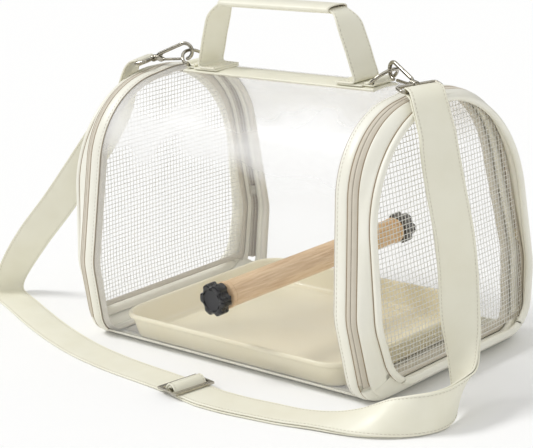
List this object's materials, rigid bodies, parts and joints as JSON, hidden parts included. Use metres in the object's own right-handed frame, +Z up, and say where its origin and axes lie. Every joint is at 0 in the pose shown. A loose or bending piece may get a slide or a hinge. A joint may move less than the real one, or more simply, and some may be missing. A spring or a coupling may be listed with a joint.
{
  "type": "bird travel carrier",
  "caption": "Soft tunnel-shaped travel carrier for a small bird, with clear walls, zipped mesh end doors, a perch, a floor tray, a handle and a clip-on shoulder strap.",
  "frame": {"origin": "middle of the floor under the carrier, measured without the shoulder strap", "axes": "+X along the tunnel to the right-hand door, +Y from the front wall to the back wall, +Z up"},
  "size_m": [0.6983, 0.3673, 0.3573],
  "materials": {
    "ivory": "woven webbing",
    "leatherette": "smooth soft leatherette",
    "film": "clear flexible film",
    "board": "matte board",
    "tape": "woven zipper tape",
    "seam": "folded tape",
    "net": "knitted mesh",
    "metal": "polished nickel",
    "wire": "drawn wire",
    "wood": "light sanded beech",
    "black": "satin moulded",
    "tray": "satin moulded",
    "grip": "padded leatherette",
    "slider": "satin"
  },
  "bodies": {
    "carrier": {"floor_cover": "leatherette", "floor_board": "board", "clear_tunnel": "film", "front_edge_binding": "leatherette", "rear_edge_binding": "leatherette", "right_end_binding": "leatherette", "left_end_binding": "leatherette", "right_end_wire": "wire", "left_end_wire": "wire", "right_wire_tape": "seam", "left_wire_tape": "seam", "right_body_zip_tape": "tape", "left_body_zip_tape": "tape", "right_sill": "leatherette", "left_sill": "leatherette", "perch_dowel": "wood", "perch_washers": "wood", "perch_screws": "wire", "top_webbing": "ivory", "ring_tabs": "ivory", "handle_feet": "ivory", "handle_right_leg": "ivory", "handle_left_leg": "ivory", "strap_left": "ivory", "strap_right": "ivory", "strap_return": "ivory"},
    "right_door": {"right_door_zip_tape": "tape", "right_door_band": "leatherette", "right_door_piping": "leatherette", "right_door_wire": "wire", "right_door_facing": "leatherette", "right_door_net": "net"},
    "right_slider": {"right_zip_slider": "metal"},
    "right_pull": {"right_zip_pull": "metal"},
    "right_ring": {"right_d_ring": "metal"},
    "right_hook": {"right_snap_hook": "metal", "right_gate_pin": "metal"},
    "right_gate": {"right_hook_gate": "metal"},
    "right_loop": {"right_swivel_loop": "metal"},
    "left_door": {"left_door_zip_tape": "tape", "left_door_band": "leatherette", "left_door_piping": "leatherette", "left_door_wire": "wire", "left_door_facing": "leatherette", "left_door_net": "net"},
    "left_slider": {"left_zip_slider": "metal"},
    "left_pull": {"left_zip_pull": "metal"},
    "left_ring": {"left_d_ring": "metal"},
    "left_hook": {"left_snap_hook": "metal", "left_gate_pin": "metal"},
    "left_gate": {"left_hook_gate": "metal"},
    "left_loop": {"left_swivel_loop": "metal"},
    "front_knob": {"front_knob": "black"},
    "rear_knob": {"rear_knob": "black"},
    "tray": {"tray": "tray"},
    "handle": {"handle_webbing": "ivory", "handle_grip": "grip"},
    "strap_adjuster": {"strap_slider": "slider"}
  },
  "joints": [
    {"name": "right_door_swing", "type": "hinge", "parent": "carrier", "child": "right_door", "pos_m": [0.2175, 0, 0.022], "axis": [0, 1, 0], "range_deg": [0, 95], "deforming": ["strap_left", "strap_right", "strap_return"]},
    {"name": "right_slider_run", "type": "slide", "parent": "carrier", "child": "right_slider", "axis": [-0.0515, -0.1763, 0.983], "range_m": [0, 0.08]},
    {"name": "right_pull_flip", "type": "hinge", "parent": "right_slider", "child": "right_pull", "pos_m": [0.18994, 0.13853, 0.10565], "axis": [0.9619, -0.2735, 0.0014], "range_deg": [0, 150]},
    {"name": "right_hook_lift", "type": "hinge", "parent": "carrier", "child": "right_hook", "pos_m": [0.128, 0, 0.2851], "axis": [0, -1, 0], "range_deg": [-2, 25], "deforming": ["strap_right", "strap_return"]},
    {"name": "right_ring_lift", "type": "hinge", "parent": "carrier", "child": "right_ring", "pos_m": [0.128, 0, 0.2851], "axis": [0, -1, 0], "range_deg": [-2, 25]},
    {"name": "right_gate_open", "type": "hinge", "parent": "right_hook", "child": "right_gate", "pos_m": [0.17192, -0.01102, 0.28652], "axis": [0.342, 0.9397, 0], "range_deg": [0, 20], "stiffness_Nm_per_rad": 0.02, "springref_deg": -5.73},
    {"name": "right_loop_swivel", "type": "hinge", "parent": "right_hook", "child": "right_loop", "pos_m": [0.1453, -0.00133, 0.29575], "axis": [0.9208, -0.3352, -0.1994], "range_deg": [-12, 12], "deforming": ["strap_right", "strap_return"]},
    {"name": "left_door_swing", "type": "hinge", "parent": "carrier", "child": "left_door", "pos_m": [-0.2175, 0, 0.022], "axis": [0, -1, 0], "range_deg": [0, 95], "deforming": ["strap_left"]},
    {"name": "left_slider_run", "type": "slide", "parent": "carrier", "child": "left_slider", "axis": [0.0515, -0.1763, 0.983], "range_m": [0, 0.08]},
    {"name": "left_pull_flip", "type": "hinge", "parent": "left_slider", "child": "left_pull", "pos_m": [-0.18994, 0.13853, 0.10565], "axis": [0.9619, 0.2735, -0.0014], "range_deg": [0, 150]},
    {"name": "left_hook_lift", "type": "hinge", "parent": "carrier", "child": "left_hook", "pos_m": [-0.128, 0, 0.2851], "axis": [0, 1, 0], "range_deg": [-2, 25], "deforming": ["strap_left"]},
    {"name": "left_ring_lift", "type": "hinge", "parent": "carrier", "child": "left_ring", "pos_m": [-0.128, 0, 0.2851], "axis": [0, 1, 0], "range_deg": [-2, 25]},
    {"name": "left_gate_open", "type": "hinge", "parent": "left_hook", "child": "left_gate", "pos_m": [-0.17192, -0.01102, 0.28652], "axis": [0.342, -0.9397, 0], "range_deg": [0, 20], "stiffness_Nm_per_rad": 0.02, "springref_deg": -5.73},
    {"name": "left_loop_swivel", "type": "hinge", "parent": "left_hook", "child": "left_loop", "pos_m": [-0.1453, -0.00133, 0.29575], "axis": [-0.9208, -0.3352, -0.1994], "range_deg": [-12, 12], "deforming": ["strap_left"]},
    {"name": "front_knob_turn", "type": "hinge", "parent": "carrier", "child": "front_knob", "pos_m": [0.022, -0.1421, 0.084], "axis": [0, -1, 0], "continuous": true},
    {"name": "rear_knob_turn", "type": "hinge", "parent": "carrier", "child": "rear_knob", "pos_m": [0.022, 0.1421, 0.084], "axis": [0, 1, 0], "continuous": true},
    {"name": "tray_lift", "type": "slide", "parent": "carrier", "child": "tray", "axis": [0, 0, 1], "range_m": [0, 0.03]},
    {"name": "handle_tilt", "type": "hinge", "parent": "carrier", "child": "handle", "pos_m": [0, 0, 0.283], "axis": [1, 0, 0], "range_deg": [-75, 75], "deforming": ["handle_right_leg", "handle_left_leg"]},
    {"name": "adjuster_run", "type": "slide", "parent": "carrier", "child": "strap_adjuster", "axis": [0.9877, -0.1564, 0], "range_m": [-0.06, 0.06], "deforming": ["strap_left", "strap_right", "strap_return"]}
  ],
  "couplings": [
    {"joint": "right_ring_lift", "follows": "right_hook_lift", "ratio": 1},
    {"joint": "left_ring_lift", "follows": "left_hook_lift", "ratio": 1}
  ]
}
